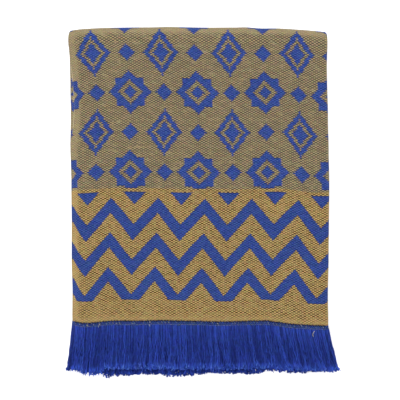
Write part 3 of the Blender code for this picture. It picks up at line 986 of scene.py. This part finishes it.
def blend(tree, share, first, second):
    """A colour wire: the first colour where share is 0, the second where it is 1."""
    node = tree.nodes.new("ShaderNodeMix")
    node.data_type = "RGBA"
    feed(tree, share, node.inputs[0])
    feed(tree, first, node.inputs[6])
    feed(tree, second, node.inputs[7])
    return Wire(tree, node.outputs[2])


# %% [markdown]
# ## The weave
# On the ground of a jacquard towel the weft floats over a few warp ends and is tied down by one. The
# ties lie in a staggered grid and show as small dark dashes. A product of two cosines makes that
# grid: it is 1 at the corners and at the middle of every cell. Each dash is given its own strength,
# and the rows wander a little, or the cloth would look printed.

# %% The weave as a node group
WEAVE_PITCH_ACROSS, WEAVE_PITCH_ALONG = 4.2, 2.35
DASH_STARTS, DASH_FULL, WEAKEST_DASH = -0.25, 0.02, 0.6

group, (across, along, wander, pitch_across, pitch_along) = new_group(
    "tied weave",
    ("Dashes", "Height"),
    Wander=0.5,
    Pitch_Across=WEAVE_PITCH_ACROSS,
    Pitch_Along=WEAVE_PITCH_ALONG,
)
wandering = (noise(group, across, along, 14.0) - 0.5) * wander
across = (across + wandering).math("DIVIDE", pitch_across)
along = (along + wandering).math("DIVIDE", pitch_along)
first_wave = (across * (2 * np.pi)).math("COSINE")
second_wave = (along * (2 * np.pi)).math("COSINE")
grid = first_wave * second_wave
own = dice(group, (across * 2).math("ROUND"), (along * 2).math("ROUND"))
dashes = grid.ramp(DASH_STARTS, DASH_FULL) * (own * (1 - WEAKEST_DASH) + WEAKEST_DASH)
weave_group = close_group(group, Dashes=dashes, Height=grid * -0.5 + 0.5)

# %% [markdown]
# ## The border
# Three zigzags and a row of small hanging triangles run across each end of the towel. A zigzag is a
# distance that bounces between two values, which is what a Math node calls ping-pong. The lowest one
# is cut off flat where the plain hem band starts. The hand of the weaver shows: the zigzags are a
# little taller towards the hem and thicker in their valleys, and the whole border stands askew.

# %% The border as a node group
ZIGZAG_PERIOD = 45.7
ZIGZAG_PEAK_AT = 5.25
ZIGZAG_TOP = 120.1
ZIGZAG_HEIGHT, ZIGZAG_GROWTH = 25.6, 0.016
ZIGZAG_WIDTH, ZIGZAG_SWELL = 14.9, 0.045
ZIGZAG_PITCH = 33.83
HEM_BAND = 19.75
TRIANGLE_TIP, TRIANGLE_BASE, TRIANGLE_SLANT = 113.2, 125.8, 0.889
FIELD_STARTS = 129.1

group, (across, along) = new_group("zigzag border", ("Blue", "Field"))
from_peak = (across - ZIGZAG_PEAK_AT).math("PINGPONG", ZIGZAG_PERIOD / 2)
height = (along * -1 + ZIGZAG_TOP) * ZIGZAG_GROWTH + ZIGZAG_HEIGHT
top_edge = from_peak * height * (-2 / ZIGZAG_PERIOD) + ZIGZAG_TOP
below = top_edge - along
width = from_peak * ZIGZAG_SWELL + ZIGZAG_WIDTH
zigzags = (below.math("FLOORED_MODULO", ZIGZAG_PITCH) < width) * (below > 0)
zigzags = zigzags * (along > HEM_BAND)
from_valley = from_peak * -1 + ZIGZAG_PERIOD / 2
slanting_side = (along - TRIANGLE_TIP) * TRIANGLE_SLANT
triangles = (from_valley - slanting_side < 0) * (along < TRIANGLE_BASE)
blue = zigzags.math("MAXIMUM", triangles)
border_group = close_group(group, Blue=blue, Field=along > FIELD_STARTS)

# %% [markdown]
# ## The field
# Between its borders the towel has a plain half-drop repeat of stars and lozenges, such as many
# weavers use. They are charted on the loom's own cells, so that their edges come out in steps. Every
# motif is a sum of the distances from its middle across and along, compared with a few numbers.

# %% The field as a node group
CELL = 1.85
FIRST_STARS = 145.2
HALF_REPEAT_ACROSS, HALF_REPEAT_ALONG = 18, 21

group, (across, along) = new_group("star field", ("Blue",))
star_x = (across * (1 / CELL)).math("ROUND").math("PINGPONG", HALF_REPEAT_ACROSS)
star_y = (along * (1 / CELL)).math("ROUND").math("PINGPONG", HALF_REPEAT_ALONG)
lozenge_x = star_x * -1 + HALF_REPEAT_ACROSS
lozenge_y = star_y * -1 + HALF_REPEAT_ALONG
square = star_x.math("MAXIMUM", star_y) < 7.5
diamond = (star_x + star_y) < 11.5
ring = ((star_x + star_y) > 3.5) * ((star_x + star_y) < 6.5)
stars = square.math("MAXIMUM", diamond) * ring.inverse()
reach = lozenge_x * (1 / 9) + lozenge_y * (1 / 12)
inner = (reach > 0.45) * (reach < 0.68)
lozenges = (reach < 1.02) * inner.inverse()
small = ((lozenge_x + star_y) < 4.5).math("MAXIMUM", (star_x + lozenge_y) < 4.5)
field_group = close_group(group, Blue=stars.math("MAXIMUM", lozenges).math("MAXIMUM", small))

# %% [markdown]
# ## Cotton colours
# Soft cotton is matt and never one flat colour: yarns differ, and dye takes unevenly. One group
# gives that unevenness to every part of the towel, as a fine grain, as broad faint clouds, and as a
# slight tint of its own for each float of yarn, which is a random colour mixed into white.

# %% Uneven dye as a node group
group, (across, along, grain, tint) = new_group(
    "uneven dye", ("Shade",), "NodeSocketColor", Grain=1.0, Tint=0.3
)
grain = (noise(group, across, along, 1.1, 3.0) - 0.5) * grain
clouds = (noise(group, across, along, 34.0, 1.0) - 0.5) * 0.12
floats = dice(group, (across * 0.45).math("ROUND"), (along * 0.95).math("ROUND"), "Color")
tint = vector_math(group, "MULTIPLY_ADD", floats, tint * 2, tint.inverse())
dye_group = close_group(group, Shade=vector_math(group, "MULTIPLY", tint, grain + clouds + 1.0))

# %% [markdown]
# ## What every material needs
# All materials here read the piece's flat UV map, end in one matt Principled BSDF, and get their
# colour through the uneven dye. Only some are raised by a bump.

# %% Helpers for materials
def flat_place(tree):
    """Wires of the flat place in millimetres, across and along, from the piece's UV map."""
    uv_map = tree.nodes.new("ShaderNodeUVMap")
    uv_map.uv_map = "flat"
    parts = tree.nodes.new("ShaderNodeSeparateXYZ")
    tree.links.new(uv_map.outputs["UV"], parts.inputs[0])
    return Wire(tree, parts.outputs["X"]) * 1000, Wire(tree, parts.outputs["Y"]) * 1000


def tone_of(tree):
    """A wire of the tone that each strand and stitch carries."""
    attribute = tree.nodes.new("ShaderNodeAttribute")
    attribute.attribute_name = "tone"
    return Wire(tree, attribute.outputs["Fac"])


def paint(tree, shader, colour, across, along, grain, tint):
    """Gives a BSDF a colour wire times the shade of uneven dye."""
    dye = use(tree, dye_group, across, along, Grain=grain, Tint=tint)
    feed(tree, vector_math(tree, "MULTIPLY", colour, dye["Shade"]), shader.inputs["Base Color"])
    print(f"painted with {len(tree.nodes)} nodes")


def new_material(name, roughness):
    """A material with a Principled BSDF of a set roughness: the material, its tree and the BSDF."""
    material = bpy.data.materials.new(name)
    material.use_nodes = True
    tree = material.node_tree
    shader = tree.nodes["Principled BSDF"]
    shader.inputs["Roughness"].default_value = roughness
    shader.inputs["Specular IOR Level"].default_value = 0.1
    return material, tree, shader


def add_bump(tree, shader, height, strength, distance):
    """Raises a surface by a height wire."""
    bump = tree.nodes.new("ShaderNodeBump")
    bump.inputs["Strength"].default_value = strength
    bump.inputs["Distance"].default_value = distance
    feed(tree, height, bump.inputs["Height"])
    tree.links.new(bump.outputs["Normal"], shader.inputs["Normal"])


# %% [markdown]
# ## The cloth's material
# The warp is blue and the weft ochre, and the pattern only says which of them is on top. So the
# weave, the pattern and the dye are laid over each other here. First the pattern is put askew: its
# rows skew, sway and bow, and each pick of the loom shifts its edges by a tooth.

# %% Where the cloth is blue
SKEW_IN_BORDER, SKEW_IN_FIELD = 0.045, 0.022
SWAY, SWAY_LENGTH, SWAY_LENGTH_ALONG = 1.2, 26.0, 30.0
PICK, TOOTH = 2.15, 0.85
BOW, BOW_TURN, BOW_MIDDLE = 0.6, 0.033, 20.0
RIM_REACH = 0.75


cloth_material, tree, shader = new_material("woven cotton cloth", 0.88)
across, along = flat_place(tree)
from_end = (along * -1 + FLAT_LENGTH * 1000).math("MINIMUM", along)

skew = (from_end * -1 + ZIGZAG_TOP).math("MAXIMUM", 0.0) * SKEW_IN_BORDER
skew = skew + (from_end - ZIGZAG_TOP).math("MAXIMUM", 0.0) * SKEW_IN_FIELD
sway = (noise(tree, across, along, SWAY_LENGTH, 1.0) - 0.5) * SWAY
tooth = ((along * (1 / PICK)).math("FRACT") > 0.5) * TOOTH
pattern_across = across + skew + sway + tooth
bow = ((across - BOW_MIDDLE) * BOW_TURN).math("COSINE") * BOW
sway_along = (noise(tree, along, across, SWAY_LENGTH_ALONG, 1.0) - 0.5) * SWAY
pattern_along = from_end + bow + sway_along


def pattern(tree, across, along):
    """Wires that are 1 where the whole pattern is blue, and 1 where the field is."""
    border = use(tree, border_group, across, along)
    field = use(tree, field_group, across, along - FIRST_STARS)
    return border["Blue"].math("MAXIMUM", field["Blue"] * border["Field"]), border["Field"]


is_blue, in_field = pattern(tree, pattern_across, pattern_along)
# Painted shade: a thin dark rim wherever the blue has no blue a little above or below it.
blue_above = pattern(tree, pattern_across, pattern_along + RIM_REACH)[0]
blue_below = pattern(tree, pattern_across, pattern_along - RIM_REACH)[0]
rim = (blue_above * blue_below).inverse()

# %% [markdown]
# ## Ties, twill, painted shade and a painted highlight
# Where the pile rounds off, the floats are seen end on and hide the ties, so the ties fade on the
# slopes that face the viewer at a slant. The hem band is a fine twill. Each blue shape has a thin
# dark rim along its rows, painted shade where the floats change face and the ochre weft dives under:
# it is blue that has no blue a little above or below it. Where the front is drawn in at the left, the
# crest of its fold stands free and is painted paler, a painted highlight as if it caught the light.

# %% The colour of the cloth
OCHRE = (0.385, 0.270, 0.108, 1)
OCHRE_TIE = (0.030, 0.010, 0.000, 1)
FIELD_OCHRE = (0.285, 0.226, 0.121, 1)
FIELD_TIE = (0.054, 0.044, 0.032, 1)
BLUE = (0.006, 0.020, 0.118, 1)
BLUE_FLECK = (0.046, 0.080, 0.274, 1)
# The dark colour of the painted shade along the rims of the blue shapes.
BLUE_RIM_SHADE = (0.004, 0.009, 0.034, 1)
# The pale ochre of the painted highlight on the crest of the left fold.
CREST_PAINTED_HIGHLIGHT = (0.640, 0.545, 0.340, 1)
RIM_SHADE_SHARE = 0.6
BORDER_DEPTH = 0.94
CREST_STARTS, CREST_ENDS, CREST_FADE = 182.0, 258.0, 14.0
CREST_SLOPES = (0.00, 0.15, 0.44, 0.60)
SHOULDER_SLOPES = (0.05, 0.35, 0.72, 0.93)
TWILL_ACROSS, TWILL_ALONG = 3.6, 2.6

ground = use(tree, weave_group, across, along)
fine = use(tree, weave_group, across, along, Pitch_Across=2.3, Pitch_Along=1.9)
speckle = dice(tree, (across * 0.7).math("ROUND"), (along * 1.03).math("ROUND"))
facing = tree.nodes.new("ShaderNodeSeparateXYZ")
tree.links.new(tree.nodes.new("ShaderNodeNewGeometry").outputs["Normal"], facing.inputs[0])
upward = Wire(tree, facing.outputs["Z"])
shoulder = upward.band(*SHOULDER_SLOPES)
plain_hem = from_end.ramp(-2.0, 9.0).inverse()
ties_show = (plain_hem * -0.7 + 1) * (shoulder * -0.45 + 1)
twill = across * (2 * np.pi / TWILL_ACROSS) - along * (2 * np.pi / TWILL_ALONG)
twill = (twill.math("SINE") * 0.16 + 0.08) * plain_hem
ochre = blend(tree, ground["Dashes"] * ties_show + twill, OCHRE, OCHRE_TIE)
waves = noise(tree, across + along * 1.5, along * 3.0, 9.0)
field_ties = (ground["Dashes"] + (waves - 0.45) * 0.9).ramp(0.05, 0.85)
field_ochre = blend(tree, field_ties * ties_show, FIELD_OCHRE, FIELD_TIE)
blue = blend(tree, ground["Dashes"] * -0.80 + speckle * 0.3 + 0.66, BLUE, BLUE_FLECK)
blue = vector_math(tree, "MULTIPLY", blue, in_field * (1 - BORDER_DEPTH) + BORDER_DEPTH)
# Painted shade darkens the blue at its rim.
blue = blend(tree, rim * RIM_SHADE_SHARE, blue, BLUE_RIM_SHADE)
colour = blend(tree, is_blue, blend(tree, in_field, ochre, field_ochre), blue)
# Painted highlight: the crest of the front's left fold, where it faces left and half up, is blended
# towards pale ochre.
leftward = Wire(tree, facing.outputs["X"]) < -0.3
crest_highlight_mask = upward.band(*CREST_SLOPES) * leftward * (is_blue * -0.8 + 1)
crest_highlight_mask = crest_highlight_mask * along.band(CREST_STARTS, CREST_STARTS + CREST_FADE, CREST_ENDS - CREST_FADE, CREST_ENDS)
colour = blend(tree, crest_highlight_mask * 0.75, colour, CREST_PAINTED_HIGHLIGHT)
paint(tree, shader, colour, across, along, 0.35, is_blue * 0.04 + 0.11)
add_bump(tree, shader, ground["Height"] + fine["Height"] * 0.5, 0.25, 0.0002)

# %% [markdown]
# ## The yarn of the fringe
# Loose warp is softer and lighter than woven warp, because its fibres stand off it. The tone that
# each strand carries blends it between a dark and a clear blue, and beyond 1.2 towards the paler
# blue of the tip: partly the real paleness of a cut and untwisted tip, and partly a painted highlight
# on the curled tips, stronger in the front fringe than in the under one, which lies in its shade. A
# strand at the rim of its wisp, and every strand further down, is darker by painted shade.

# %% The fringe's material
YARN_BLUE = (0.027, 0.064, 0.400, 1)
YARN_DARK = (0.006, 0.013, 0.110, 1)
YARN_TIP = (0.078, 0.160, 0.590, 1)
yarn_material, tree, shader = new_material("fringe yarn", 0.80)
across, along = flat_place(tree)
tone = tone_of(tree)
colour = blend(tree, tone - 1.2, blend(tree, tone, YARN_DARK, YARN_BLUE), YARN_TIP)
paint(tree, shader, colour, across, along * 0.3, 0.5, 0.1)

# %% [markdown]
# ## The heading's weave
# The same weave group with a closer pitch makes the heading's tight ribs, in blue only.

# %% The heading's material
HEADING_LIGHT = (0.030, 0.060, 0.230, 1)
HEADING_DARK = (0.006, 0.011, 0.050, 1)
heading_material, tree, shader = new_material("woven heading", 0.88)
across, along = flat_place(tree)
ribs = use(tree, weave_group, across, along, Pitch_Across=2.0, Pitch_Along=2.4, Wander=0.3)
colour = blend(tree, ribs["Dashes"], HEADING_LIGHT, HEADING_DARK)
paint(tree, shader, colour, across, along, 0.5, 0.2)
add_bump(tree, shader, ribs["Height"], 0.3, 0.0002)

# %% [markdown]
# ## Sewing thread
# The thread is undyed ochre cotton, but it is so thin that the blue beneath shows between its
# stitches. Each stitch gets its own tone between a bluish and a clear one.

# %% The thread's material
THREAD_LIGHT = (0.400, 0.380, 0.240, 1)
THREAD_DARK = (0.085, 0.120, 0.275, 1)
thread_material, tree, shader = new_material("ochre thread", 0.85)
across, along = flat_place(tree)
colour = blend(tree, tone_of(tree), THREAD_DARK, THREAD_LIGHT)
paint(tree, shader, colour, across, along, 0.4, 0.1)

# %% [markdown]
# ## Binding yarn
# The edge is bound in a dark, matt yarn. Each stitch is darker or lighter by its tone, as some lie
# in the shade of the hem, and the dye is as uneven as in the rest of the towel.

# %% The binding's material
BINDING_DARK = (0.005, 0.008, 0.028, 1)
BINDING_LIGHT = (0.020, 0.034, 0.110, 1)
binding_material, tree, shader = new_material("dark binding", 0.85)
across, along = flat_place(tree)
colour = blend(tree, tone_of(tree), BINDING_DARK, BINDING_LIGHT)
paint(tree, shader, colour, across, along, 0.5, 0.1)

# %% [markdown]
# ## Dressing the towel
# Every piece gets one material: the cloth, the headings, the fringes and the threads.

# %% Dress the pieces
dressed = [([cloth], cloth_material), (headings.values(), heading_material)]
dressed += [(fringes.values(), yarn_material), ([binding_piece], binding_material)]
dressed += [([seam_piece, snip_piece], thread_material)]
for pieces, material in dressed:
    for piece in pieces:
        piece.data.materials.append(material)
        print(piece.name, "is dressed in", material.name)

# %% [markdown]
# ## The studio
# The towel lies flat on a pale table and is seen from straight above, as in a catalogue. The light
# comes from all round, with one large soft lamp beyond its top edge, so that the folds and the
# strands still cast a faint shade. The table is a light table, and glows a little: that is how such
# pictures get their plain white ground, with no shadow round the goods.

# %% Floor, light and camera
FLOOR_SIZE, FLOOR_GLOW = 3.0, 0.35
FRAME_WIDTH, PILE_HEIGHT = 0.389, 0.031
LENS, SENSOR = 180.0, 36.0
LAMP_AT, LAMP_SIZE, LAMP_POWER = (-0.30, 0.75, 1.15), 1.4, 11.0
SKY_STRENGTH = 1.12

bpy.ops.mesh.primitive_plane_add(size=FLOOR_SIZE, location=(0, 0, -0.0003))
floor = bpy.context.object
floor.name = "table"
floor_material, tree, shader = new_material("pale table", 0.9)
shader.inputs["Base Color"].default_value = (0.93, 0.93, 0.93, 1)
shader.inputs["Emission Color"].default_value = (1, 1, 1, 1)
shader.inputs["Emission Strength"].default_value = FLOOR_GLOW
floor.data.materials.append(floor_material)

lamp_data = bpy.data.lights.new("soft lamp", "AREA")
lamp_data.shape = "DISK"
lamp_data.size = LAMP_SIZE
lamp_data.energy = LAMP_POWER
lamp = bpy.data.objects.new("soft lamp", lamp_data)
lamp.location = LAMP_AT
lamp.rotation_euler = (-Vector(lamp.location)).to_track_quat("-Z", "Y").to_euler()
bpy.context.scene.collection.objects.link(lamp)

world = bpy.data.worlds.new("bright room")
world.use_nodes = True
sky = world.node_tree.nodes["Background"]
sky.inputs["Color"].default_value = (1, 1, 1, 1)
sky.inputs["Strength"].default_value = SKY_STRENGTH
bpy.context.scene.world = world
bpy.context.scene.view_settings.view_transform = "Standard"

camera_data = bpy.data.cameras.new("camera")
camera_data.lens = LENS
camera_data.sensor_width = SENSOR
camera = bpy.data.objects.new("camera", camera_data)
camera.location = (-0.0022, 0.0006, PILE_HEIGHT + FRAME_WIDTH * LENS / SENSOR)
bpy.context.scene.collection.objects.link(camera)
bpy.context.scene.camera = camera
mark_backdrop(floor, lamp, camera)

# %% [markdown]
# ## The size of the dressed towel
# The dressed towel should be as large as the solids that it covers, apart from loose yarn. Both
# boxes are gathered in one table.

boxes = {"solids": solid_box, "towel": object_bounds()}
boxes = {name: [list(corner) for corner in box] for name, box in boxes.items()}
